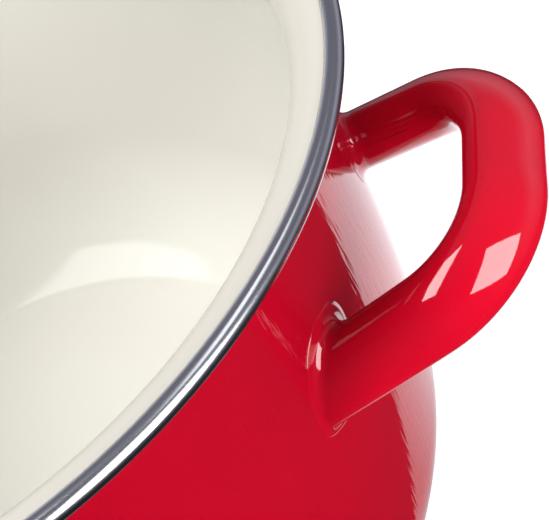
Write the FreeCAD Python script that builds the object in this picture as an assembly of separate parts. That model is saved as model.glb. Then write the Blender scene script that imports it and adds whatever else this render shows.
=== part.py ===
"""Enamelled steel soup tureen with two hollow loop handles and its lid, in millimetres.

Frame: +Z up, origin on the pot's axis in the plane that it stands on, handles on +X and -X.
The lid is off the pot and lies on its rim on the same plane, behind the left-hand side.
"""
import FreeCAD, Part
import math
import os

Vector = FreeCAD.Vector

# ---------------------------------------------------------------- driving dimensions
# pot wall
BELLY_RADIUS = 144.6        # widest outside radius of the wall
BELLY_HEIGHT = 54.0         # height of the widest place
RIM_HEIGHT = 194.5          # standing plane to the centre of the rolled rim
RIM_OVERHANG = 2.9          # belly outwards to the centre of the rolled rim
FOOT_INSET = 35.4           # belly inwards to the outside of the standing ring
FOOT_RADIUS = 9.0           # small curve from the heel to the standing ring
LIP_FLARE = 12.5            # curve that turns the neck outwards to the rim
STEEL = 1.2                 # red enamelled steel sheet
ENAMEL = 0.4                # cream glass lining
BASE_RAISE = 1.5            # the middle of the base stands off the table
STANDING_RING = 14.0        # width of the flat ring that the pot stands on
RAISE_SLOPE = 9.0           # width of the slope between ring and raised middle

# rolled stainless rim, on the pot and on the lid
RIM_TUBE = 2.5              # outside radius of the rolled band on the pot
LID_TUBE = 2.2              # outside radius of the rolled band on the lid
BAND_SHEET = 0.8            # thickness of the band

# handles
HANDLE_DROP = 61.1          # rim down to the start of the loop's centre line
LEG_SETBACK = 5.7           # wall's outside in to the start of the loop's centre line
LEG_HALF_SPACING = 40.8     # half the distance between the legs at the pot
BAR_HALF_SPACING = 31.4     # the same where the legs would meet the end bar
LOOP_REACH = 53.8           # length of the loop, measured along its slope
LOOP_CORNER = 28.3          # centre-line radius of the loop's two corners
LOOP_RISE = 29.4            # degrees that the loop points upwards
STRAP_LEAN = 27.3           # degrees that the strap's top leans into the loop
STRAP_HALF_TALL = 10.3      # half of the strap's taller way
STRAP_HALF_THICK = 8.2      # half of the strap's thinner way
STRAP_CROWN = 15.0          # radius of the strap's four gently rounded faces
STRAP_EDGE = 6.4            # radius of the strap's four edges
STRAP_SHEET = 1.2           # thickness of the sheet that the strap is rolled from
SEAM_GAP = 0.5              # butt seam left open along the strap's upper edge inside the loop
SEAM_PLACE = 0.185          # how far round that edge the seam lies, from the inside face up
SEAM_OVERCUT = 0.6          # the seam's cut runs this far past the sheet, on both sides
FOOT_FILLET = 4.0           # flare where a leg runs out onto the wall
EMBED = 16.0                # length of each leg that is trimmed off inside the wall

# lid
LID_GAP = 1.0               # play between the lid's rim and the pot's rim
LID_RISE = 32.0             # standing plane to the top of the dome
LID_CURVE = 10.0            # curve between dome and flange
LID_FLANGE = 10.9           # width of the flat flange, up to the centre of the lid's rim
LID_ASIDE = 11.0            # seen from above, pot's rim to the rim of the lid beside it
LID_BEARING = 130.0         # degrees from +X to the lid's axis

# lid knob, its rose and its screw
KNOB_FOOT = 9.0             # radius where the knob stands on its rose
KNOB_NECK = 6.5             # smallest radius of the stem
KNOB_CAP = 18.5             # widest radius
KNOB_TALL = 31.0            # rose to the top of the knob
KNOB_CAP_UNDER = 14.5       # rose to the underside of the cap's edge
ROSE_RADIUS = 16.0
ROSE_THICK = 1.6
SCREW_SHANK = 2.5           # radius
SCREW_HEAD = 5.5            # radius
SCREW_HEAD_TALL = 3.0
SCREW_REACH = 16.0          # length of shank inside the knob
SCREW_PLAY = 0.2            # radial play of the shank in the lid and the rose

TOUCHING = 0.01             # points nearer than this lie on one another
MERGING = 0.001             # faces nearer than this are one where a foot is trimmed to the wall

# ---------------------------------------------------------------- small geometry tools


def arc(centre, radius, start, end):
    """An arc in the XZ plane about centre (x, z), from one angle to another, in degrees."""
    points = []
    for angle in (start, (start + end) / 2, end):
        a = math.radians(angle)
        points.append(Vector(centre[0] + radius * math.cos(a), 0, centre[1] + radius * math.sin(a)))
    return Part.Arc(*points).toShape()


def line(start, end):
    return Part.LineSegment(Vector(start[0], 0, start[1]), Vector(end[0], 0, end[1])).toShape()


def chain_ends(edge):
    first = edge.valueAt(edge.FirstParameter)
    last = edge.valueAt(edge.LastParameter)
    return (first.x, first.z), (last.x, last.z)


def face_between(outer, inner):
    """The flat face between two chains of edges that run the same way, closed by two lines."""
    outer_start, outer_end = chain_ends(outer[0])[0], chain_ends(outer[-1])[1]
    inner_start, inner_end = chain_ends(inner[0])[0], chain_ends(inner[-1])[1]
    edges = outer + inner + [line(outer_start, inner_start), line(outer_end, inner_end)]
    return Part.Face(Part.Wire(Part.__sortEdges__(edges)))


def turn(face):
    """A solid of revolution about the Z axis."""
    return face.revolve(Vector(0, 0, 0), Vector(0, 0, 1), 360)


# ---------------------------------------------------------------- pot wall
# The outside of the wall is a chain of tangent arcs: foot, heel, shoulder and lip flare.
# Every inner surface is the same chain moved inwards by a depth.

FOOT_CENTRE = (BELLY_RADIUS - FOOT_INSET, FOOT_RADIUS)
foot_drop = BELLY_HEIGHT - FOOT_RADIUS
HEEL_RADIUS = (FOOT_INSET ** 2 + foot_drop ** 2 - FOOT_RADIUS ** 2) / (2 * (FOOT_INSET - FOOT_RADIUS))
HEEL_CENTRE = (BELLY_RADIUS - HEEL_RADIUS, BELLY_HEIGHT)
FOOT_ANGLE = -math.degrees(math.atan2(foot_drop, FOOT_CENTRE[0] - HEEL_CENTRE[0]))

RIM_RADIUS = BELLY_RADIUS + RIM_OVERHANG
FLARE_CENTRE = (RIM_RADIUS, RIM_HEIGHT - LIP_FLARE - (STEEL + ENAMEL) / 2)
flare_out = FLARE_CENTRE[0] - BELLY_RADIUS
flare_up = FLARE_CENTRE[1] - BELLY_HEIGHT
SHOULDER_RADIUS = (flare_out ** 2 + flare_up ** 2 - LIP_FLARE ** 2) / (2 * (LIP_FLARE - flare_out))
SHOULDER_CENTRE = (BELLY_RADIUS - SHOULDER_RADIUS, BELLY_HEIGHT)
NECK_ANGLE = math.degrees(math.atan2(flare_up, FLARE_CENTRE[0] - SHOULDER_CENTRE[0]))


def wall_chain(depth):
    """The wall's outline, moved inwards by depth, from the middle of the base to the lip."""
    ring_outside = FOOT_CENTRE[0]
    ring_inside = ring_outside - STANDING_RING
    raise_edge = ring_inside - RAISE_SLOPE
    raised = BASE_RAISE + depth
    return [
        line((0, raised), (raise_edge, raised)),
        line((raise_edge, raised), (ring_inside, depth)),
        line((ring_inside, depth), (ring_outside, depth)),
        arc(FOOT_CENTRE, FOOT_RADIUS - depth, -90, FOOT_ANGLE),
        arc(HEEL_CENTRE, HEEL_RADIUS - depth, FOOT_ANGLE, 0),
        arc(SHOULDER_CENTRE, SHOULDER_RADIUS - depth, 0, NECK_ANGLE),
        arc(FLARE_CENTRE, LIP_FLARE + depth, 180 + NECK_ANGLE, 90),
    ]


body_face = face_between(wall_chain(0), wall_chain(STEEL))
lining_face = face_between(wall_chain(STEEL), wall_chain(STEEL + ENAMEL))
pot_body = turn(body_face)
pot_lining = turn(lining_face)


def filled_pot():
    """The space that the pot fills, up to its lip, used to trim the handles' feet."""
    chain = wall_chain(0)
    lip = chain_ends(chain[-1])[1]
    edges = chain + [line(lip, (0, lip[1])), line((0, lip[1]), (0, BASE_RAISE))]
    return turn(Part.Face(Part.Wire(Part.__sortEdges__(edges))))


# ---------------------------------------------------------------- rolled rim


def rolled_band(radius, height, tube, lip_faces):
    """A round band rolled over the edge of the sheet, open where the sheet enters it."""
    centre = Vector(radius, 0, height)
    outside = Part.Face(Part.Wire(Part.makeCircle(tube, centre, Vector(0, 1, 0))))
    inside = Part.Face(Part.Wire(Part.makeCircle(tube - BAND_SHEET, centre, Vector(0, 1, 0))))
    section = outside.cut(inside)
    for lip in lip_faces:
        section = section.cut(lip)
    return turn(section.Faces[0])


pot_rim = rolled_band(RIM_RADIUS, RIM_HEIGHT, RIM_TUBE, [body_face, lining_face])

# ---------------------------------------------------------------- handles
# The loop lies in a plane that rises away from the pot. Its strap is a hollow, nearly square
# tube with crowned faces, rolled from sheet. The two edges of the sheet meet in a butt seam
# along the tube's upper edge inside the loop, and each leg flares out onto the wall.


def crowned_outline(half_wide, half_tall, crown, edge):
    """Eight tangent arcs in the XZ plane, four crowned faces and four edges, about the origin."""
    p = crown - half_wide
    q = crown - half_tall
    # centre of the first edge's arc: as far from both crown centres as the radii differ
    slope = p / q
    offset = (p * p - q * q) / (2 * q)
    reach = crown - edge
    a = 1 + slope * slope
    b = 2 * (p + slope * offset)
    c = p * p + offset * offset - reach * reach
    edge_x = (-b + math.sqrt(b * b - 4 * a * c)) / (2 * a)
    edge_z = slope * edge_x + offset
    side = math.degrees(math.atan2(edge_z, edge_x + p))
    top = math.degrees(math.atan2(edge_z + q, edge_x))
    return [
        arc((-p, 0), crown, -side, side),
        arc((edge_x, edge_z), edge, side, top),
        arc((0, -q), crown, top, 180 - top),
        arc((-edge_x, edge_z), edge, 180 - top, 180 - side),
        arc((p, 0), crown, 180 - side, 180 + side),
        arc((-edge_x, -edge_z), edge, 180 + side, 180 + top),
        arc((0, q), crown, 180 + top, 360 - top),
        arc((edge_x, -edge_z), edge, 360 - top, 360 - side),
    ]


def strap_outline(depth):
    """The strap's outline moved inwards by depth. +X is the side that faces into the loop."""
    return crowned_outline(
        STRAP_HALF_THICK - depth, STRAP_HALF_TALL - depth, STRAP_CROWN - depth, STRAP_EDGE - depth
    )


def loop_path():
    """The loop's centre line in its own plane, X along the reach, from inside the wall and back."""
    start = Vector(0, LEG_HALF_SPACING, 0)
    corner = Vector(LOOP_REACH, BAR_HALF_SPACING, 0)
    along = (corner - start).normalize()
    across = Vector(0, -1, 0)
    turn_angle = along.getAngle(across)
    tangent = LOOP_CORNER * math.tan(turn_angle / 2)
    leg_end = corner - along * tangent
    bar_start = corner + across * tangent
    centre = leg_end + Vector(along.y, -along.x, 0) * LOOP_CORNER
    middle = centre + (corner - centre).normalize() * LOOP_CORNER
    inside = start - along * EMBED

    def other(point):
        return Vector(point.x, -point.y, 0)

    return Part.Wire([
        Part.LineSegment(inside, leg_end).toShape(),
        Part.Arc(leg_end, middle, bar_start).toShape(),
        Part.LineSegment(bar_start, other(bar_start)).toShape(),
        Part.Arc(other(bar_start), other(middle), other(leg_end)).toShape(),
        Part.LineSegment(other(leg_end), other(inside)).toShape(),
    ]), inside, along


HANDLE_HEIGHT = RIM_HEIGHT - HANDLE_DROP
handle_up = HANDLE_HEIGHT - SHOULDER_CENTRE[1]
HANDLE_START = SHOULDER_CENTRE[0] + math.sqrt(SHOULDER_RADIUS ** 2 - handle_up ** 2) - LEG_SETBACK


def swept_round_loop(section):
    """A closed wire in the XZ plane, leaned as the strap leans and swept round the loop."""
    path, start, along = loop_path()
    # the section's X axis points into the loop, its Z axis along the loop plane's normal
    into_loop = Vector(along.y, -along.x, 0)
    basis = FreeCAD.Matrix(
        into_loop.x, -along.x, 0, start.x,
        into_loop.y, -along.y, 0, start.y,
        0, 0, 1, 0,
        0, 0, 0, 1,
    )
    section.rotate(Vector(0, 0, 0), Vector(0, 1, 0), STRAP_LEAN)
    return path.makePipeShell([section.transformed(basis)], True, False)


def swept_strap(depth):
    """The strap's outline, moved inwards by depth, swept round the loop as a solid bar."""
    return swept_round_loop(Part.Wire(strap_outline(depth)))


def seam_slot():
    """The slot that the butt seam leaves through the sheet, all along the loop."""
    upper_edge = strap_outline(0)[1]
    first = upper_edge.FirstParameter
    last = upper_edge.LastParameter
    surface = upper_edge.valueAt(first + SEAM_PLACE * (last - first))
    outward = (surface - upper_edge.Curve.Center).normalize()
    near = surface - outward * (STRAP_SHEET + SEAM_OVERCUT)
    far = surface + outward * SEAM_OVERCUT
    half = Vector(-outward.z, 0, outward.x) * (SEAM_GAP / 2)
    corners = [near - half, far - half, far + half, near + half]
    return swept_round_loop(Part.makePolygon(corners + corners[:1]))


def placed(shape):
    """From the loop's own plane to its place on the pot."""
    shape = shape.copy()
    shape.rotate(Vector(0, 0, 0), Vector(0, 1, 0), -LOOP_RISE)
    shape.translate(Vector(HANDLE_START, 0, HANDLE_HEIGHT))
    return shape


def flared_onto(bar, pot):
    """The bar joined to the pot, with a fillet all round each foot."""
    joined = bar.fuse(pot)
    feet = []
    for edge in joined.Edges:
        middle = Part.Vertex(edge.valueAt((edge.FirstParameter + edge.LastParameter) / 2))
        on_pot = pot.Shells[0].distToShape(middle)[0] < TOUCHING
        on_bar = bar.Shells[0].distToShape(middle)[0] < TOUCHING
        if on_pot and on_bar:
            feet.append(edge)
    return joined.makeFillet(FOOT_FILLET, feet)


filled = filled_pot()
flared = flared_onto(placed(swept_strap(0)), filled)
hollowed = flared.cut(placed(swept_strap(STRAP_SHEET))).cut(placed(seam_slot()))
right_handle = hollowed.cut([filled], MERGING)
left_handle = right_handle.copy()
left_handle.rotate(Vector(0, 0, 0), Vector(0, 0, 1), 180)

# ---------------------------------------------------------------- lid
# Seen from its own axis, standing on its rim: a dome that runs down into a flat flange, whose
# edge is held in the lid's rolled rim. Seated on the pot, that rim lies just inside the pot's.

LID_RIM_RADIUS = RIM_RADIUS - RIM_TUBE - LID_GAP - LID_TUBE
FLANGE_TOP = LID_TUBE + (STEEL + ENAMEL) / 2
CURVE_CENTRE = (LID_RIM_RADIUS - LID_FLANGE, FLANGE_TOP + LID_CURVE)
curve_drop = LID_RISE - CURVE_CENTRE[1]
LID_DOME = (CURVE_CENTRE[0] ** 2 + curve_drop ** 2 - LID_CURVE ** 2) / (2 * (LID_CURVE + curve_drop))
DOME_CENTRE = (0, LID_RISE - LID_DOME)
DOME_EDGE = math.degrees(math.atan2(CURVE_CENTRE[1] - DOME_CENTRE[1], CURVE_CENTRE[0]))


def lid_chain(depth):
    """The lid's outline, moved inwards by depth, from the top of the dome to the flange's edge."""
    flange = FLANGE_TOP - depth
    return [
        arc(DOME_CENTRE, LID_DOME - depth, 90, DOME_EDGE),
        arc(CURVE_CENTRE, LID_CURVE + depth, 180 + DOME_EDGE, 270),
        line((CURVE_CENTRE[0], flange), (LID_RIM_RADIUS, flange)),
    ]


def cylinder(radius, bottom, top):
    return Part.makeCylinder(radius, top - bottom, Vector(0, 0, bottom))


lid_shell_face = face_between(lid_chain(0), lid_chain(STEEL))
lid_lining_face = face_between(lid_chain(STEEL), lid_chain(STEEL + ENAMEL))
screw_hole = cylinder(SCREW_SHANK + SCREW_PLAY, 0, LID_RISE + KNOB_TALL)
lid_shell = turn(lid_shell_face).cut(screw_hole)
lid_lining = turn(lid_lining_face).cut(screw_hole)
lid_rim = rolled_band(LID_RIM_RADIUS, LID_TUBE, LID_TUBE, [lid_shell_face, lid_lining_face])

# ---------------------------------------------------------------- knob, rose and screw

ROSE_TOP = LID_RISE + ROSE_THICK
LID_INSIDE = LID_RISE - STEEL - ENAMEL
dome_solid = Part.makeSphere(LID_DOME, Vector(0, 0, DOME_CENTRE[1]))

# the rose is a shallow disc with a rounded edge, hollowed underneath to sit on the dome
rose_blank = cylinder(ROSE_RADIUS, LID_RISE - ROSE_THICK, ROSE_TOP)
rose_rim = [edge for edge in rose_blank.Edges if abs(edge.CenterOfMass.z - ROSE_TOP) < TOUCHING]
rose_rounded = rose_blank.makeFillet(ROSE_THICK / 2, rose_rim[:1])
knob_rose = rose_rounded.cut(dome_solid).cut(screw_hole)


def knob_section():
    """Half of the knob's section: foot, waisted stem, flat underside and a domed cap."""
    waist = KNOB_CAP_UNDER / 2
    cap_edge = (KNOB_TALL - KNOB_CAP_UNDER) / 4
    crown = cap_edge + KNOB_CAP_UNDER
    top = Vector(0, 0, ROSE_TOP + KNOB_TALL)
    side = Vector(KNOB_CAP, 0, ROSE_TOP + crown)
    # the cap's dome passes through the side and meets the axis square on
    dome = (KNOB_CAP ** 2 + (KNOB_TALL - crown) ** 2) / (2 * (KNOB_TALL - crown))
    half = math.asin(KNOB_CAP / dome) / 2
    shoulder = Vector(dome * math.sin(half), 0, top.z - dome * (1 - math.cos(half)))
    foot = Vector(KNOB_FOOT, 0, ROSE_TOP)
    neck = Vector(KNOB_NECK, 0, ROSE_TOP + waist)
    under = Vector(KNOB_FOOT, 0, ROSE_TOP + KNOB_CAP_UNDER)
    lip = Vector(KNOB_CAP - cap_edge, 0, ROSE_TOP + KNOB_CAP_UNDER)
    bulge = cap_edge * math.cos(math.pi / 4)
    turn_out = Vector(lip.x + bulge, 0, side.z - bulge)
    base = Vector(0, 0, ROSE_TOP)
    return Part.Face(Part.Wire([
        Part.LineSegment(base, foot).toShape(),
        Part.Arc(foot, neck, under).toShape(),
        Part.LineSegment(under, lip).toShape(),
        Part.Arc(lip, turn_out, side).toShape(),
        Part.Arc(side, shoulder, top).toShape(),
        Part.LineSegment(top, base).toShape(),
    ]))


# the screw comes up from inside the lid, through shell and rose, into the knob
screw_top = ROSE_TOP + SCREW_REACH
shank = cylinder(SCREW_SHANK, LID_INSIDE - SCREW_HEAD_TALL, screw_top)
head = cylinder(SCREW_HEAD, LID_INSIDE - SCREW_HEAD_TALL, LID_RISE)
under_side = [edge for edge in head.Edges if edge.CenterOfMass.z < LID_INSIDE - SCREW_HEAD_TALL / 2]
pan_head = head.makeFillet(SCREW_HEAD_TALL / 2, under_side[:1])
lining_space = Part.makeSphere(LID_DOME - STEEL - ENAMEL, Vector(0, 0, DOME_CENTRE[1]))
knob_screw = pan_head.common(lining_space).fuse(shank).removeSplitter()
lid_knob = turn(knob_section()).cut(shank)

lid_distance = RIM_RADIUS + RIM_TUBE + LID_ASIDE + LID_TUBE + LID_RIM_RADIUS
lid_axis = Vector(
    lid_distance * math.cos(math.radians(LID_BEARING)),
    lid_distance * math.sin(math.radians(LID_BEARING)),
    0,
)


def set_down(shape):
    """From the lid's own axis to the place where the lid lies behind the pot."""
    shape = shape.copy()
    shape.translate(lid_axis)
    return shape


# ---------------------------------------------------------------- the pieces

pieces = {
    "pot_body": pot_body,
    "pot_lining": pot_lining,
    "pot_rim": pot_rim,
    "right_handle": right_handle,
    "left_handle": left_handle,
    "lid_shell": set_down(lid_shell),
    "lid_lining": set_down(lid_lining),
    "lid_rim": set_down(lid_rim),
    "lid_knob": set_down(lid_knob),
    "knob_rose": set_down(knob_rose),
    "knob_screw": set_down(knob_screw),
}

os.makedirs("parts", exist_ok=True)
for name, shape in pieces.items():
    solid = shape.Solids[0] if len(shape.Solids) == 1 else shape
    box = solid.BoundBox
    print(f"{name}: {len(shape.Solids)} solid, {solid.Volume / 1000:.2f} cm3, valid {solid.isValid()}, "
          f"x {box.XMin:.1f}..{box.XMax:.1f} y {box.YMin:.1f}..{box.YMax:.1f} "
          f"z {box.ZMin:.1f}..{box.ZMax:.1f}")
    solid.exportStep(f"parts/{name}.step")
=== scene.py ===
"""An enamelled steel soup tureen seen from above, close to its right handle, in metres.

The pot stands on +Z with its handles on +X and -X. The lid lies on the table behind it.
"""
import bpy
import math
from mathutils import Matrix, Vector, noise


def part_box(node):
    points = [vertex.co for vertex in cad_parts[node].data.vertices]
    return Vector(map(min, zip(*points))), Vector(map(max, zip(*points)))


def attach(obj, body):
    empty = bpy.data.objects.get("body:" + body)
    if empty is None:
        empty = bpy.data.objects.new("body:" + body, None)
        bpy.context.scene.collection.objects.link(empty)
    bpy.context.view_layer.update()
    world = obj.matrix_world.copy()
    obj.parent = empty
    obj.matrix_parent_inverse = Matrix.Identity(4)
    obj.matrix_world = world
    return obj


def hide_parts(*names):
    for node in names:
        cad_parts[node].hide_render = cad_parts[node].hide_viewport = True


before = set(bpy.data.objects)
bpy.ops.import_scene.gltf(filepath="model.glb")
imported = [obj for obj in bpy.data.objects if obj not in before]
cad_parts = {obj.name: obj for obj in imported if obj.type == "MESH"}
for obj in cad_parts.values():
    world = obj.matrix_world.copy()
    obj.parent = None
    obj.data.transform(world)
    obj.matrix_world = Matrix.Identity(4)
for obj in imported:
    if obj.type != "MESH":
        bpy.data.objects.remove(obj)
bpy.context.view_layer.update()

# ------------------------------------------------------------------ pot body
# The pot is one sheet of mild steel, deep drawn: foot, heel, belly and neck run into one
# another, and the neck turns outwards to the rim. It is dipped in red glass enamel and fired.

MM = 0.001
BELLY_RADIUS = 144.6 * MM
BELLY_HEIGHT = 54.0 * MM
RIM_HEIGHT = 194.5 * MM
RIM_OVERHANG = 2.9 * MM
FOOT_INSET = 35.4 * MM
FOOT_RADIUS = 9.0 * MM
LIP_FLARE = 12.5 * MM
STEEL = 1.2 * MM
ENAMEL = 0.4 * MM
BASE_RAISE = 1.5 * MM
STANDING_RING = 14.0 * MM
RAISE_SLOPE = 9.0 * MM
FOOT_STEPS = 10
HEEL_STEPS = 24
SHOULDER_STEPS = 36
FLARE_STEPS = 20
POT_STEPS_ROUND = 384

foot_centre = (BELLY_RADIUS - FOOT_INSET, FOOT_RADIUS)
foot_drop = BELLY_HEIGHT - FOOT_RADIUS
heel_radius = (FOOT_INSET ** 2 + foot_drop ** 2 - FOOT_RADIUS ** 2) / (2 * (FOOT_INSET - FOOT_RADIUS))
heel_centre = (BELLY_RADIUS - heel_radius, BELLY_HEIGHT)
foot_angle = -math.atan2(foot_drop, foot_centre[0] - heel_centre[0])

rim_radius = BELLY_RADIUS + RIM_OVERHANG
flare_centre = (rim_radius, RIM_HEIGHT - LIP_FLARE - (STEEL + ENAMEL) / 2)
flare_out = flare_centre[0] - BELLY_RADIUS
flare_up = flare_centre[1] - BELLY_HEIGHT
shoulder_radius = (flare_out ** 2 + flare_up ** 2 - LIP_FLARE ** 2) / (2 * (LIP_FLARE - flare_out))
shoulder_centre = (BELLY_RADIUS - shoulder_radius, BELLY_HEIGHT)
neck_angle = math.atan2(flare_up, flare_centre[0] - shoulder_centre[0])


def arc_points(centre, radius, start, end, count):
    """Points along an arc of the section, angles in radians, both ends included."""
    points = []
    for i in range(count + 1):
        angle = start + (end - start) * i / count
        points.append((centre[0] + radius * math.cos(angle), centre[1] + radius * math.sin(angle)))
    return points


def wall_section(depth):
    """Half of the pot's section, moved inwards by depth, from the middle of the base to the lip."""
    ring_outside = foot_centre[0]
    ring_inside = ring_outside - STANDING_RING
    raise_edge = ring_inside - RAISE_SLOPE
    raised = BASE_RAISE + depth
    return (
        [(0, raised), (raise_edge / 2, raised), (raise_edge, raised), (ring_inside, depth)]
        + arc_points(foot_centre, FOOT_RADIUS - depth, -math.pi / 2, foot_angle, FOOT_STEPS)
        + arc_points(heel_centre, heel_radius - depth, foot_angle, 0, HEEL_STEPS)[1:]
        + arc_points(shoulder_centre, shoulder_radius - depth, 0, neck_angle, SHOULDER_STEPS)[1:]
        + arc_points(flare_centre, LIP_FLARE + depth, math.pi + neck_angle, math.pi / 2, FLARE_STEPS)[1:]
    )


def mesh_piece(name, points, faces, material):
    """A smooth mesh object at the origin, with its place in its points."""
    mesh = bpy.data.meshes.new(name)
    mesh.from_pydata(points, [], faces)
    mesh.validate()
    mesh.polygons.foreach_set("use_smooth", [True] * len(mesh.polygons))
    mesh.materials.append(material)
    piece = bpy.data.objects.new(name, mesh)
    bpy.context.collection.objects.link(piece)
    return piece


def spun_piece(name, section, material, steps=256, centre=(0, 0, 0)):
    """A closed section of (radius, height) points, taken clockwise, spun round an upright axis."""
    points = []
    rings = []
    for radius, height in section:
        if radius == 0:
            # A point on the axis is one point, which every face round it shares.
            rings.append([len(points)] * steps)
            points.append((centre[0], centre[1], centre[2] + height))
            continue
        rings.append(list(range(len(points), len(points) + steps)))
        for k in range(steps):
            angle = 2 * math.pi * k / steps
            points.append((
                centre[0] + radius * math.cos(angle),
                centre[1] + radius * math.sin(angle),
                centre[2] + height,
            ))
    faces = []
    for here, there in zip(rings, rings[1:] + rings[:1]):
        for k in range(steps):
            after = (k + 1) % steps
            corners = [here[k], here[after], there[after], there[k]]
            face = [c for i, c in enumerate(corners) if c != corners[i - 1]]
            if len(set(face)) > 2:
                faces.append(face)
    return mesh_piece(name, points, faces, material)


def paint(hex_colour):
    """An sRGB hex colour as the linear colour that a shader takes."""
    channels = []
    for i in (0, 2, 4):
        c = int(hex_colour[i:i + 2], 16) / 255
        channels.append(c / 12.92 if c <= 0.04045 else ((c + 0.055) / 1.055) ** 2.4)
    return (*channels, 1.0)


def add_node(tree, kind, settings=None, links=None):
    """Adds a node, sets its properties and inputs by name, and links outputs to its inputs."""
    node = tree.nodes.new(kind)
    for key, value in (settings or {}).items():
        if isinstance(key, str) and hasattr(node, key):
            setattr(node, key, value)
        else:
            node.inputs[key].default_value = value
    for key, output in (links or {}).items():
        tree.links.new(output, node.inputs[key])
    return node


# A colour mix shares its node with number and vector mixes, so its sockets go by their places.
MIX_SHARE = 0
MIX_FIRST = 6
MIX_SECOND = 7
MIX_RESULT = 2


def new_material(name):
    """An empty node material, its node tree and its output node."""
    material = bpy.data.materials.new(name)
    material.use_nodes = True
    tree = material.node_tree
    tree.nodes.clear()
    return material, tree, tree.nodes.new("ShaderNodeOutputMaterial")


# Red vitreous enamel: fired glass over steel, a hard even gloss with fine dark specks in it. Its
# skin pits like orange peel. Where the wet glaze drained down the wall it also ripples in long
# runs, so an edge that is reflected there is ragged. A speck's core and edge are shares of the
# specks' spacing.
RED_ENAMEL = "98051B"
RED_ENAMEL_DEEP = "900419"
RED_SPECK = "4A0410"
CLOUD_SIZE = 40 * MM
SPECK_SPACING = 2.6 * MM
SPECK_CORE = 0.05
SPECK_EDGE = 0.09
SPECK_DARKNESS = 0.55
PEEL_SIZE = 1.1 * MM
PEEL_DEPTH = 0.01 * MM
RUN_WIDTH = 1.5 * MM
RUN_LENGTH = 30 * MM
RUN_DEPTH = 0.065 * MM


def red_vitreous_enamel(name, colour, other_colour, run_depth, fade=None):
    """Red enamel with runs of a depth. Its two shades lie in clouds, or fade with the radius into a painted
    lighter shade.
    """
    material, tree, output = new_material(name)
    place = add_node(tree, "ShaderNodeTexCoord").outputs["Object"]
    if fade is None:
        clouds = add_node(
            tree, "ShaderNodeTexNoise", {"Scale": 1 / CLOUD_SIZE, "Detail": 2.0}, {"Vector": place}
        )
        share = clouds.outputs["Fac"]
    else:
        level_way = add_node(
            tree, "ShaderNodeVectorMath", {"operation": "MULTIPLY", 1: (1, 1, 0)}, {0: place}
        )
        from_axis = add_node(
            tree, "ShaderNodeVectorMath", {"operation": "LENGTH"}, {0: level_way.outputs["Vector"]}
        )
        faded = add_node(
            tree, "ShaderNodeMapRange", {"From Min": fade[0], "From Max": fade[1]},
            {"Value": from_axis.outputs["Value"]},
        )
        share = faded.outputs["Result"]
    glass = add_node(
        tree, "ShaderNodeMix",
        {"data_type": "RGBA", MIX_FIRST: paint(colour), MIX_SECOND: paint(other_colour)},
        {MIX_SHARE: share},
    )
    grains = add_node(tree, "ShaderNodeTexVoronoi", {"Scale": 1 / SPECK_SPACING}, {"Vector": place})
    speck = add_node(
        tree, "ShaderNodeMapRange",
        {"From Min": SPECK_CORE, "From Max": SPECK_EDGE, "To Min": SPECK_DARKNESS, "To Max": 0.0},
        {"Value": grains.outputs["Distance"]},
    )
    specked = add_node(
        tree, "ShaderNodeMix", {"data_type": "RGBA", MIX_SECOND: paint(RED_SPECK)},
        {MIX_SHARE: speck.outputs["Result"], MIX_FIRST: glass.outputs[MIX_RESULT]},
    )
    stretched = add_node(
        tree, "ShaderNodeMapping",
        {"Scale": (1 / RUN_WIDTH, 1 / RUN_WIDTH, 1 / RUN_LENGTH)},
        {"Vector": place},
    )
    runs = add_node(
        tree, "ShaderNodeTexNoise", {"Scale": 1.0, "Detail": 1.0},
        {"Vector": stretched.outputs["Vector"]},
    )
    run_bump = add_node(
        tree, "ShaderNodeBump", {"Strength": 1.0, "Distance": run_depth},
        {"Height": runs.outputs["Fac"]},
    )
    peel = add_node(
        tree, "ShaderNodeTexNoise", {"Scale": 1 / PEEL_SIZE, "Detail": 1.0}, {"Vector": place}
    )
    peel_bump = add_node(
        tree, "ShaderNodeBump", {"Strength": 0.4, "Distance": PEEL_DEPTH},
        {"Height": peel.outputs["Fac"], "Normal": run_bump.outputs["Normal"]},
    )
    shader = add_node(
        tree, "ShaderNodeBsdfPrincipled", {"Roughness": 0.05, "IOR": 1.6},
        {"Base Color": specked.outputs[MIX_RESULT], "Normal": peel_bump.outputs["Normal"]},
    )
    tree.links.new(shader.outputs["BSDF"], output.inputs["Surface"])
    return material


red_enamel = red_vitreous_enamel("red_vitreous_enamel", RED_ENAMEL, RED_ENAMEL_DEEP, RUN_DEPTH)

pot_outside = wall_section(0)
pot_inside = wall_section(STEEL)
pot_body = spun_piece("pot_body_enamel", pot_outside + pot_inside[::-1], red_enamel, POT_STEPS_ROUND)
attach(pot_body, "pot")
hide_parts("pot_body")

# ------------------------------------------------------------------ pot lining
# The inside is coated with a cream glass enamel, which is fired onto the steel after the red. It
# shines a little softer than the outside and is faintly mottled and rolling. Towards the rim it is
# painted greyer, a painted shade on the flare, which faces up into the lamps.

CREAM_ENAMEL = "E2E0D9"
CREAM_ENAMEL_GREY = "DDDBD3"
RIM_PAINTED_SHADE_GREY = "CDC9BE"
PAINTED_SHADE_BAND = 14 * MM
MOTTLE_SIZE = 60 * MM
ROLL_SIZE = 9 * MM
ROLL_DEPTH = 0.06 * MM

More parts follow.
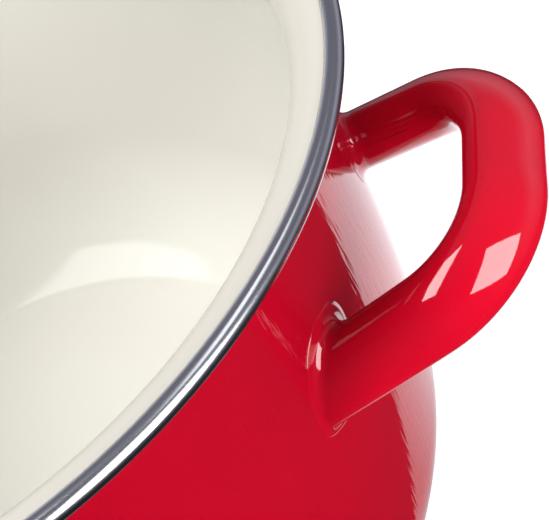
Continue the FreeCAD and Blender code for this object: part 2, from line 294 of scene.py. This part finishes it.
cream_enamel, tree, output = new_material("cream_vitreous_enamel")
place = add_node(tree, "ShaderNodeTexCoord").outputs["Object"]
mottle = add_node(tree, "ShaderNodeTexNoise", {"Scale": 1 / MOTTLE_SIZE, "Detail": 2.0}, {"Vector": place})
mottled = add_node(
    tree, "ShaderNodeMix",
    {"data_type": "RGBA", MIX_FIRST: paint(CREAM_ENAMEL), MIX_SECOND: paint(CREAM_ENAMEL_GREY)},
    {MIX_SHARE: mottle.outputs["Fac"]},
)
level = add_node(tree, "ShaderNodeSeparateXYZ", {}, {"Vector": place})
# Painted shade: the cream turns greyer over the top of the wall, towards the rim.
painted_shade_share = add_node(
    tree, "ShaderNodeMapRange",
    {"From Min": RIM_HEIGHT - PAINTED_SHADE_BAND, "From Max": RIM_HEIGHT - PAINTED_SHADE_BAND / 2},
    {"Value": level.outputs["Z"]},
)
cream_with_painted_shade = add_node(
    tree, "ShaderNodeMix", {"data_type": "RGBA", MIX_SECOND: paint(RIM_PAINTED_SHADE_GREY)},
    {MIX_SHARE: painted_shade_share.outputs["Result"], MIX_FIRST: mottled.outputs[MIX_RESULT]},
)
roll = add_node(tree, "ShaderNodeTexNoise", {"Scale": 1 / ROLL_SIZE, "Detail": 2.0}, {"Vector": place})
roll_bump = add_node(
    tree, "ShaderNodeBump", {"Strength": 0.25, "Distance": ROLL_DEPTH}, {"Height": roll.outputs["Fac"]}
)
shader = add_node(
    tree, "ShaderNodeBsdfPrincipled", {"Roughness": 0.12, "IOR": 1.52, "Specular IOR Level": 0.2},
    {"Base Color": cream_with_painted_shade.outputs[MIX_RESULT], "Normal": roll_bump.outputs["Normal"]},
)
tree.links.new(shader.outputs["BSDF"], output.inputs["Surface"])

lining_inside = wall_section(STEEL + ENAMEL)
pot_lining = spun_piece(
    "pot_lining_enamel", pot_inside + lining_inside[::-1], cream_enamel, POT_STEPS_ROUND
)
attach(pot_lining, "pot")
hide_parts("pot_lining")

# ------------------------------------------------------------------ rolled rim
# A band of stainless steel sheet, rolled round the wall's lip so that it grips it. It is
# polished, and the steel's fine grain is left in it.

RIM_TUBE = 2.5 * MM
RING_STEPS = 512
TUBE_STEPS = 48

# Polished stainless steel: a bluish grey mirror, a little soft from its grain, so it shows the
# room in long lines, dark on its sides and bright on top. The grain is drawn coarser than it is.
STAINLESS = "C0C1C8"
GRAIN_SIZE = 0.35 * MM
GRAIN_DEPTH = 0.01 * MM

stainless, tree, output = new_material("polished_stainless_steel")
place = add_node(tree, "ShaderNodeTexCoord").outputs["Object"]
grain = add_node(tree, "ShaderNodeTexNoise", {"Scale": 1 / GRAIN_SIZE, "Detail": 1.0}, {"Vector": place})
grain_bump = add_node(
    tree, "ShaderNodeBump", {"Strength": 0.1, "Distance": GRAIN_DEPTH}, {"Height": grain.outputs["Fac"]}
)
shader = add_node(
    tree, "ShaderNodeBsdfPrincipled",
    {"Base Color": paint(STAINLESS), "Metallic": 1.0, "Roughness": 0.24},
    {"Normal": grain_bump.outputs["Normal"]},
)
tree.links.new(shader.outputs["BSDF"], output.inputs["Surface"])

# The band follows a circle: a round profile carried round the rim's centre line.
rolled_band = bpy.data.node_groups.new("rolled_band", "GeometryNodeTree")
rolled_band.interface.new_socket("Geometry", in_out="OUTPUT", socket_type="NodeSocketGeometry")
for label, kind in (
    ("Ring Radius", "NodeSocketFloat"),
    ("Tube Radius", "NodeSocketFloat"),
    ("Centre", "NodeSocketVector"),
    ("Steel", "NodeSocketMaterial"),
):
    rolled_band.interface.new_socket(label, in_out="INPUT", socket_type=kind)
sizes = add_node(rolled_band, "NodeGroupInput")
path = add_node(
    rolled_band, "GeometryNodeCurvePrimitiveCircle", {"mode": "RADIUS", "Resolution": RING_STEPS},
    {"Radius": sizes.outputs["Ring Radius"]},
)
profile = add_node(
    rolled_band, "GeometryNodeCurvePrimitiveCircle", {"mode": "RADIUS", "Resolution": TUBE_STEPS},
    {"Radius": sizes.outputs["Tube Radius"]},
)
tube = add_node(
    rolled_band, "GeometryNodeCurveToMesh", {},
    {"Curve": path.outputs["Curve"], "Profile Curve": profile.outputs["Curve"]},
)
seated = add_node(
    rolled_band, "GeometryNodeTransform", {},
    {"Geometry": tube.outputs["Mesh"], "Translation": sizes.outputs["Centre"]},
)
smooth = add_node(rolled_band, "GeometryNodeSetShadeSmooth", {}, {"Geometry": seated.outputs["Geometry"]})
real = add_node(rolled_band, "GeometryNodeRealizeInstances", {}, {"Geometry": smooth.outputs["Geometry"]})
finish = add_node(
    rolled_band, "GeometryNodeSetMaterial", {},
    {"Geometry": real.outputs["Geometry"], "Material": sizes.outputs["Steel"]},
)
add_node(rolled_band, "NodeGroupOutput", {}, {"Geometry": finish.outputs["Geometry"]})


def band_piece(name, ring_radius, tube_radius, centre):
    """A plain mesh of the rolled band, made by the node group."""
    maker = bpy.data.objects.new("maker", bpy.data.meshes.new("maker"))
    bpy.context.collection.objects.link(maker)
    modifier = maker.modifiers.new("band", "NODES")
    modifier.node_group = rolled_band
    values = {
        "Ring Radius": ring_radius, "Tube Radius": tube_radius, "Centre": centre, "Steel": stainless,
    }
    for item in rolled_band.interface.items_tree:
        if item.in_out == "INPUT":
            modifier[item.identifier] = values[item.name]
    evaluated = maker.evaluated_get(bpy.context.evaluated_depsgraph_get())
    mesh = bpy.data.meshes.new_from_object(evaluated)
    mesh.name = name
    piece = bpy.data.objects.new(name, mesh)
    bpy.context.collection.objects.link(piece)
    bpy.data.objects.remove(maker)
    return piece


pot_rim = band_piece("pot_rim_band", rim_radius, RIM_TUBE, (0, 0, RIM_HEIGHT))
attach(pot_rim, "pot")
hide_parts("pot_rim")

# ------------------------------------------------------------------ loop handles
# Each handle is a strip of steel rolled into a hollow, nearly square tube with crowned faces and
# bent to a loop that points upwards. Its butt seam runs along the upper edge inside the loop.
# The feet flare out and are welded to the wall, and the enamel runs over weld and handle alike.

HANDLE_DROP = 61.1 * MM
LEG_SETBACK = 5.7 * MM
LEG_HALF_SPACING = 40.8 * MM
BAR_HALF_SPACING = 31.4 * MM
LOOP_REACH = 53.8 * MM
LOOP_CORNER = 28.3 * MM
LOOP_RISE = math.radians(29.4)
STRAP_LEAN = math.radians(27.3)
STRAP_HALF_TALL = 10.3 * MM
STRAP_HALF_THICK = 8.2 * MM
STRAP_CROWN = 15.0 * MM
STRAP_EDGE = 6.4 * MM
SEAM_PLACE = 0.185
SEAM_HALF_WIDTH = 0.25 * MM
SEAM_DEPTH = 0.45 * MM
LIP_SHARE = 1.6
CLEAR_SHARE = 2.2
FLOOR_SHARE = 0.6
FACE_STEPS = 16
EDGE_STEPS = 12
EDGE_STEPS_PAST_SEAM = 10
EDGE_STEPS_TO_SEAM = 3


def strap_outline():
    """The strap's outline as (into the loop, up) points from the seam round to its floor."""
    side_shift = STRAP_CROWN - STRAP_HALF_THICK
    top_shift = STRAP_CROWN - STRAP_HALF_TALL
    # The rounded edge touches both crowned faces from inside, which places its centre.
    slope = side_shift / top_shift
    offset = (side_shift * side_shift - top_shift * top_shift) / (2 * top_shift)
    reach = STRAP_CROWN - STRAP_EDGE
    square = 1 + slope * slope
    linear = 2 * (side_shift + slope * offset)
    constant = side_shift * side_shift + offset * offset - reach * reach
    edge_x = (-linear + math.sqrt(linear * linear - 4 * square * constant)) / (2 * square)
    edge_z = slope * edge_x + offset
    edge = (edge_x, edge_z)
    side = math.atan2(edge_z, edge_x + side_shift)
    top = math.atan2(edge_z + top_shift, edge_x)
    left = math.pi - side
    left_top = math.pi - top
    # The seam's lips, clear steel and floor are shares of its half width, as angles on the edge.
    seam = side + SEAM_PLACE * (top - side)
    gap = SEAM_HALF_WIDTH / STRAP_EDGE
    lip = LIP_SHARE * gap
    clear = CLEAR_SHARE * gap
    floor = FLOOR_SHARE * gap
    points = arc_points(edge, STRAP_EDGE, seam + gap, seam + lip, 1)
    points += arc_points(edge, STRAP_EDGE, seam + clear, top, EDGE_STEPS_PAST_SEAM)
    points += arc_points((0, -top_shift), STRAP_CROWN, top, left_top, FACE_STEPS)[1:]
    points += arc_points((-edge_x, edge_z), STRAP_EDGE, left_top, left, EDGE_STEPS)[1:]
    points += arc_points((side_shift, 0), STRAP_CROWN, left, math.pi + side, FACE_STEPS)[1:]
    points += arc_points((-edge_x, -edge_z), STRAP_EDGE, math.pi + side, math.pi + top, EDGE_STEPS)[1:]
    points += arc_points((0, top_shift), STRAP_CROWN, math.pi + top, 2 * math.pi - top, FACE_STEPS)[1:]
    points += arc_points((edge_x, -edge_z), STRAP_EDGE, 2 * math.pi - top, 2 * math.pi - side, EDGE_STEPS)[1:]
    points += arc_points((-side_shift, 0), STRAP_CROWN, -side, side, FACE_STEPS)[1:]
    points += arc_points(edge, STRAP_EDGE, side, seam - clear, EDGE_STEPS_TO_SEAM)[1:]
    points += arc_points(edge, STRAP_EDGE, seam - lip, seam - gap, 1)
    points += arc_points(edge, STRAP_EDGE - SEAM_DEPTH, seam - floor, seam + floor, 1)
    return points, (math.cos(seam), math.sin(seam))


outline, seam_out = strap_outline()
seam_floor = {len(outline) - 2, len(outline) - 1}

# The leg's even part starts this far out along it, clear of the wall and of the foot's flare.
LEG_CLEAR = 17.0 * MM


def loop_line(leg_steps=24, corner_steps=26, bar_steps=8):
    """(point, direction) pairs along the loop's centre line in its own plane, from leg to leg."""
    start = Vector((0, LEG_HALF_SPACING, 0))
    corner = Vector((LOOP_REACH, BAR_HALF_SPACING, 0))
    along = (corner - start).normalized()
    across = Vector((0, -1, 0))
    bend = along.angle(across)
    tangent = LOOP_CORNER * math.tan(bend / 2)
    leg_end = corner - along * tangent
    centre = leg_end + Vector((along.y, -along.x, 0)) * LOOP_CORNER
    leg_start = start + along * LEG_CLEAR
    half = []
    for i in range(leg_steps):
        half.append((leg_start.lerp(leg_end, i / leg_steps), along))
    for i in range(corner_steps + 1):
        turned = Matrix.Rotation(-bend * i / corner_steps, 3, "Z")
        half.append((centre + turned @ (leg_end - centre), turned @ along))
    bar_start = half[-1][0]
    for i in range(1, bar_steps // 2 + 1):
        half.append((bar_start.lerp(Vector((bar_start.x, 0, 0)), i / (bar_steps // 2)), across))
    other = [
        (Vector((point.x, -point.y, 0)), Vector((-way.x, way.y, 0)))
        for point, way in half[::-1][1:]
    ]
    return half + other


def wall_radius(height):
    """The pot's outside radius at a height between its belly and its flare."""
    return shoulder_centre[0] + math.sqrt(shoulder_radius ** 2 - (height - BELLY_HEIGHT) ** 2)


handle_height = RIM_HEIGHT - HANDLE_DROP
loop_start = Vector((wall_radius(handle_height) - LEG_SETBACK, 0, handle_height))
to_pot = Matrix.Translation(loop_start) @ Matrix.Rotation(-LOOP_RISE, 4, "Y")


def strap_ring(point, way, bridged):
    """The strap's outline square to the loop's line, the enamel bridging part of the seam's depth."""
    inward = Vector((way.y, -way.x, 0))
    upright = Vector((0, 0, 1))
    facing = inward * math.cos(STRAP_LEAN) - upright * math.sin(STRAP_LEAN)
    tall = inward * math.sin(STRAP_LEAN) + upright * math.cos(STRAP_LEAN)
    ring = []
    for i, (x, z) in enumerate(outline):
        if i in seam_floor:
            x += seam_out[0] * SEAM_DEPTH * bridged
            z += seam_out[1] * SEAM_DEPTH * bridged
        ring.append(to_pot @ (point + facing * x + tall * z))
    return ring


# The foot's fillet is 4 mm where leg and wall stand square. Where they lean together it runs out
# further, up to a limit. Its end is sunk into the wall, so no gap shows.
FOOT_FILLET = 4.0 * MM
FOOT_REACH_MOST = 1.9 * FOOT_FILLET
FOOT_SINK = 0.6 * MM
FILLET_STEPS = 10
LEG_START_STEPS = 5
SEARCH_REACH = 60 * MM
SEARCH_HALVINGS = 40


def wall_normal(point):
    """The wall's outward normal where a point on it lies."""
    flat = Vector((point.x, point.y, 0)).normalized()
    lean = math.asin((point.z - BELLY_HEIGHT) / shoulder_radius)
    return flat * math.cos(lean) + Vector((0, 0, math.sin(lean)))


def onto_wall(point, lift=0.0):
    """The point moved level onto the pot's wall, or lift outside it."""
    flat = Vector((point.x, point.y, 0)).normalized() * (wall_radius(point.z) + lift)
    return Vector((flat.x, flat.y, point.z))


def where_it_meets(point, way):
    """Where a line from point, against way, meets the pot's wall."""
    near = 0.0
    far = SEARCH_REACH
    for _ in range(SEARCH_HALVINGS):
        middle = (near + far) / 2
        probe = point - way * middle
        if math.hypot(probe.x, probe.y) > wall_radius(probe.z):
            near = middle
        else:
            far = middle
    return point - way * near


def foot_rings(leg_ring, way):
    """Rings from inside the wall, out over the flare, to just short of the leg, and their cap."""
    middle = sum(leg_ring, Vector()) / len(leg_ring)
    axis_hit = where_it_meets(middle, way)
    stacks = []
    for point in leg_ring:
        root = where_it_meets(point, way)
        normal = wall_normal(root)
        outward = point - middle
        outward -= normal * outward.dot(normal)
        run_out = outward.normalized()
        between = way.angle(run_out)
        reach = min(FOOT_FILLET / math.tan(between / 2), FOOT_REACH_MOST)
        on_leg = root + way * reach
        on_wall = onto_wall(root + run_out * reach)
        stack = [onto_wall(axis_hit.lerp(on_wall, 0.5), -FOOT_SINK), onto_wall(on_wall, -FOOT_SINK)]
        for i in range(FILLET_STEPS + 1):
            t = i / FILLET_STEPS
            bend = on_wall * (1 - t) ** 2 + root * (2 * t * (1 - t)) + on_leg * t ** 2
            stack.append(bend)
        for i in range(1, LEG_START_STEPS):
            stack.append(on_leg.lerp(point, i / LEG_START_STEPS))
        stacks.append(stack)
    return [list(ring) for ring in zip(*stacks)], onto_wall(axis_hit, -FOOT_SINK)


# The handle is painted a shade brighter from the foot's flare outwards, as painted light where its
# faces catch more light. Its enamel drained off the bends, so it has no runs.
HANDLE_PAINTED_LIGHT_RED = "B0071F"
FOOT_TO_PAINTED_LIGHT = (142 * MM, 157 * MM)
handle_enamel_painted_light = red_vitreous_enamel("red_enamel_painted_lighter", RED_ENAMEL, HANDLE_PAINTED_LIGHT_RED, 0.0, FOOT_TO_PAINTED_LIGHT)

# Enamel fills the seam more and more away from the feet, unevenly, until it is closed this many
# rings from them. The first rings beside the weld are closed too.
SEAM_CLOSED_BY = 20
SEAM_BRIDGE = 3.0 * MM
SEAM_RAGGED = 0.6
WELDED_RINGS = 1

line = loop_line()
turn = to_pot.to_3x3()
leg_rings = []
for i, (point, way) in enumerate(line):
    from_foot = min(i, len(line) - 1 - i)
    closing = from_foot / SEAM_CLOSED_BY + SEAM_RAGGED * noise.noise(point / SEAM_BRIDGE)
    bridged = min(max(closing, 0.0), 1.0) if from_foot > WELDED_RINGS else 1.0
    leg_rings.append(strap_ring(point, way, bridged))
first_way = turn @ line[0][1]
last_way = turn @ -line[-1][1]
first_foot, first_cap = foot_rings(leg_rings[0], first_way)
last_foot, last_cap = foot_rings(leg_rings[-1], last_way)
rings = first_foot + leg_rings + last_foot[::-1]
count = len(outline)
points = [p for ring in rings for p in ring]
faces = []
for r in range(len(rings) - 1):
    row = r * count
    next_row = row + count
    for k in range(count):
        after = (k + 1) % count
        faces.append((row + after, row + k, next_row + k, next_row + after))
points += [first_cap, last_cap]
last_row = (len(rings) - 1) * count
for k in range(count):
    after = (k + 1) % count
    faces.append((len(points) - 2, k, after))
    faces.append((len(points) - 1, last_row + after, last_row + k))

for side, angle in (("right", 0), ("left", math.pi)):
    about = Matrix.Rotation(angle, 3, "Z")
    handle = mesh_piece(f"{side}_handle_loop", [about @ p for p in points], faces, handle_enamel_painted_light)
    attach(handle, "pot")
    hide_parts(f"{side}_handle")

# ------------------------------------------------------------------ lid
# The lid is a pressed steel dome with a flat flange, enamelled red over cream. Its edge is held
# in a smaller rolled band, which seats just inside the pot's rim.

LID_TUBE = 2.2 * MM
LID_GAP = 1.0 * MM
LID_RISE = 32.0 * MM
LID_CURVE = 10.0 * MM
LID_FLANGE = 10.9 * MM
LID_HOLE = 2.7 * MM
DOME_STEPS = 40
CURVE_STEPS = 12

lid_low, lid_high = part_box("lid_rim")
lid_centre = ((lid_low[0] + lid_high[0]) / 2, (lid_low[1] + lid_high[1]) / 2, 0)
lid_rim_radius = rim_radius - RIM_TUBE - LID_GAP - LID_TUBE
flange_top = LID_TUBE + (STEEL + ENAMEL) / 2
curve_centre = (lid_rim_radius - LID_FLANGE, flange_top + LID_CURVE)
curve_drop = LID_RISE - curve_centre[1]
lid_dome = (curve_centre[0] ** 2 + curve_drop ** 2 - LID_CURVE ** 2) / (2 * (LID_CURVE + curve_drop))
dome_centre = (0, LID_RISE - lid_dome)
dome_edge = math.atan2(curve_centre[1] - dome_centre[1], curve_centre[0])


def lid_section(depth):
    """Half of the lid's section, moved inwards by depth, from the screw hole to the edge."""
    hole_angle = math.pi / 2 - math.asin(LID_HOLE / (lid_dome - depth))
    return (
        arc_points(dome_centre, lid_dome - depth, hole_angle, dome_edge, DOME_STEPS)
        + arc_points(curve_centre, LID_CURVE + depth, math.pi + dome_edge, 1.5 * math.pi, CURVE_STEPS)[1:]
        + [(lid_rim_radius, flange_top - depth)]
    )


lid_outside = lid_section(0)
lid_middle = lid_section(STEEL)
lid_inside = lid_section(STEEL + ENAMEL)
lid_shell = spun_piece("lid_shell_enamel", lid_middle + lid_outside[::-1], red_enamel, centre=lid_centre)
lid_lining = spun_piece("lid_lining_enamel", lid_inside + lid_middle[::-1], cream_enamel, centre=lid_centre)
lid_rim = band_piece("lid_rim_band", lid_rim_radius, LID_TUBE, (*lid_centre[:2], LID_TUBE))
for piece, node, slot in (
    (lid_shell, "lid_shell", "red_enamel"),
    (lid_lining, "lid_lining", "cream_enamel"),
    (lid_rim, "lid_rim", "stainless_steel"),
):
    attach(piece, "lid")
    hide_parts(node)

# ------------------------------------------------------------------ knob
# The knob is turned from stainless steel and sits on a thin steel rose. A screw from inside the
# lid holds both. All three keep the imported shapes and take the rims' polished steel.

for node in ("lid_knob", "knob_rose", "knob_screw"):
    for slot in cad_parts[node].material_slots:
        slot.material = stainless

# ------------------------------------------------------------------ table and light
# A sweep of matt white paper on a table in a dim room. One big soft box stands beside the
# camera and a second hangs over the pot, with a weak fill at the ceiling.

PAPER = "E8E8EA"
PAPER_HALF = 8.0

white_paper, tree, output = new_material("white_paper")
shader = add_node(
    tree, "ShaderNodeBsdfPrincipled",
    {"Base Color": paint(PAPER), "Roughness": 0.9, "Emission Color": paint(PAPER), "Emission Strength": 0.5},
)
tree.links.new(shader.outputs["BSDF"], output.inputs["Surface"])

sheet_corners = [
    (-PAPER_HALF, -PAPER_HALF, 0), (PAPER_HALF, -PAPER_HALF, 0),
    (PAPER_HALF, PAPER_HALF, 0), (-PAPER_HALF, PAPER_HALF, 0),
]
paper_sheet = mesh_piece("paper_sheet", sheet_corners, [(0, 1, 2, 3)], white_paper)
paper_sheet.visible_glossy = False

# What shines in the enamel is only a glowing strip behind the pot and to its right, a painted
# reflection of lit paper that the camera doesn't see. Its glow is dimmer towards -Y, a painted
# shade of the handle, and it lies just over the sheet.
STRIP = ((-1.2, -0.20), (0.054, -0.20), (0.174, 0.0), (0.282, 0.18), (-1.2, 0.18))
STRIP_LIFT = 0.05 * MM
STRIP_GLOW_WHITE = "FAFAFF"

strip_glow_material, tree, output = new_material("glowing_strip_painted_reflection")
place = add_node(tree, "ShaderNodeTexCoord").outputs["Object"]
across = add_node(tree, "ShaderNodeSeparateXYZ", {}, {"Vector": place})
# Painted shade: the strip's glow dims towards -Y.
fade = add_node(
    tree, "ShaderNodeMapRange", {"From Min": 0.0, "From Max": 0.1, "To Min": 0.6, "To Max": 1.4},
    {"Value": across.outputs["Y"]},
)
glow = add_node(
    tree, "ShaderNodeEmission", {"Color": paint(STRIP_GLOW_WHITE)}, {"Strength": fade.outputs["Result"]}
)
tree.links.new(glow.outputs["Emission"], output.inputs["Surface"])
strip = mesh_piece("glowing_reflection_strip", [(x, y, STRIP_LIFT) for x, y in STRIP], [(0, 1, 2, 3, 4)], strip_glow_material)
strip.visible_camera = False
strip.visible_diffuse = False
strip.visible_shadow = False

# The room is dim below the table and overhead, and paler where its walls stand: each shade has
# its share of the way from low to high. It is nearly dark in front, on the side of -Y, and
# lightest behind.
ROOM_SHADES = ((0.08, "2E2E34"), (0.48, "A8A6B2"), (0.73, "6C6C74"))

world = bpy.data.worlds.new("room")
world.use_nodes = True
tree = world.node_tree
way_out = add_node(tree, "ShaderNodeTexCoord").outputs["Generated"]
parts = add_node(tree, "ShaderNodeSeparateXYZ", {}, {"Vector": way_out})
climb = add_node(
    tree, "ShaderNodeMapRange", {"From Min": -0.5, "From Max": 0.8}, {"Value": parts.outputs["Z"]}
)
room = add_node(tree, "ShaderNodeValToRGB", {}, {"Fac": climb.outputs["Result"]})
shades = room.color_ramp.elements
shades.new(ROOM_SHADES[1][0])
for shade, (position, colour) in zip(shades, ROOM_SHADES):
    shade.position = position
    shade.color = paint(colour)
behind = add_node(
    tree, "ShaderNodeMapRange", {"From Min": -0.8, "From Max": 0.6, "To Min": 0.1, "To Max": 1.4},
    {"Value": parts.outputs["Y"]},
)
background = tree.nodes["Background"]
tree.links.new(room.outputs["Color"], background.inputs["Color"])
tree.links.new(behind.outputs["Result"], background.inputs["Strength"])
bpy.context.scene.world = world
bpy.context.scene.view_settings.view_transform = "Standard"


def soft_box(name, place, facing, up, size, brightness):
    """A rectangular soft box at a place, shining where it faces, its second side along up."""
    lamp = bpy.data.lights.new(name, "AREA")
    lamp.shape = "RECTANGLE"
    lamp.size, lamp.size_y = size
    lamp.energy = brightness * math.pi * size[0] * size[1]
    box = bpy.data.objects.new(name, lamp)
    away = -Vector(facing).normalized()
    side = Vector(up).cross(away).normalized()
    turned = Matrix((side, away.cross(side), away)).transposed().to_4x4()
    box.matrix_world = Matrix.Translation(Vector(place)) @ turned
    bpy.context.collection.objects.link(box)
    return box


soft_box(
    "window_box", place=(1.27, -0.77, 0.63), facing=(-0.46, 0.42, -0.78), up=(-0.01, 0.88, 0.475),
    size=(1.31, 0.97), brightness=8.5,
)
soft_box(
    "top_box", place=(-0.60, -0.48, 1.26), facing=(0.35, 0.21, -0.9), up=(0.33, 0.94, 0),
    size=(0.8, 1.0), brightness=9.0,
)
DOWN_ON_POT = (-0.25, -0.28, -0.93)
ALONG_RIM = (-0.56, 0.83, 0)
ceiling_fill = soft_box(
    "ceiling_fill", place=(0.5, 0.35, 1.5), facing=DOWN_ON_POT, up=ALONG_RIM,
    size=(1.3, 1.3), brightness=0.8,
)
ceiling_fill.visible_glossy = False

# A long lamp overhead draws the bright line on the rolled steel. The enamel doesn't show it.
overhead_lamp = soft_box(
    "overhead_lamp", place=(0.43, 0.27, 1.21), facing=DOWN_ON_POT, up=ALONG_RIM,
    size=(0.3, 0.7), brightness=2.2,
)
polished_pieces = bpy.data.collections.new("polished_pieces")
polished_pieces.objects.link(pot_rim)
polished_pieces.objects.link(lid_rim)
overhead_lamp.light_linking.receiver_collection = polished_pieces

# ------------------------------------------------------------------ camera
# Close above the right handle, tipped, as the photograph was taken.

CAMERA_BEARING = math.radians(-46.28)
CAMERA_RISE = math.radians(32.726)
CAMERA_DISTANCE = 361.7 * MM
CAMERA_ROLL = math.radians(-23.936)
CAMERA_LENS = 84.14
LOOK_AT = Vector((138.20 * MM, -52.32 * MM, RIM_HEIGHT))

camera_place = Vector((
    CAMERA_DISTANCE * math.cos(CAMERA_RISE) * math.cos(CAMERA_BEARING),
    CAMERA_DISTANCE * math.cos(CAMERA_RISE) * math.sin(CAMERA_BEARING),
    RIM_HEIGHT + CAMERA_DISTANCE * math.sin(CAMERA_RISE),
))
forward = (LOOK_AT - camera_place).normalized()
right = forward.cross(Vector((0, 0, 1))).normalized()
up = right.cross(forward)
tipped_right = right * math.cos(CAMERA_ROLL) + up * math.sin(CAMERA_ROLL)
tipped_up = up * math.cos(CAMERA_ROLL) - right * math.sin(CAMERA_ROLL)
lens = bpy.data.cameras.new("camera")
lens.lens = CAMERA_LENS
lens.sensor_width = 36.0
lens.sensor_fit = "HORIZONTAL"
lens.clip_start = 0.01
camera = bpy.data.objects.new("camera", lens)
turned = Matrix((tipped_right, tipped_up, -forward)).transposed().to_4x4()
camera.matrix_world = Matrix.Translation(camera_place) @ turned
bpy.context.collection.objects.link(camera)
bpy.context.scene.camera = camera
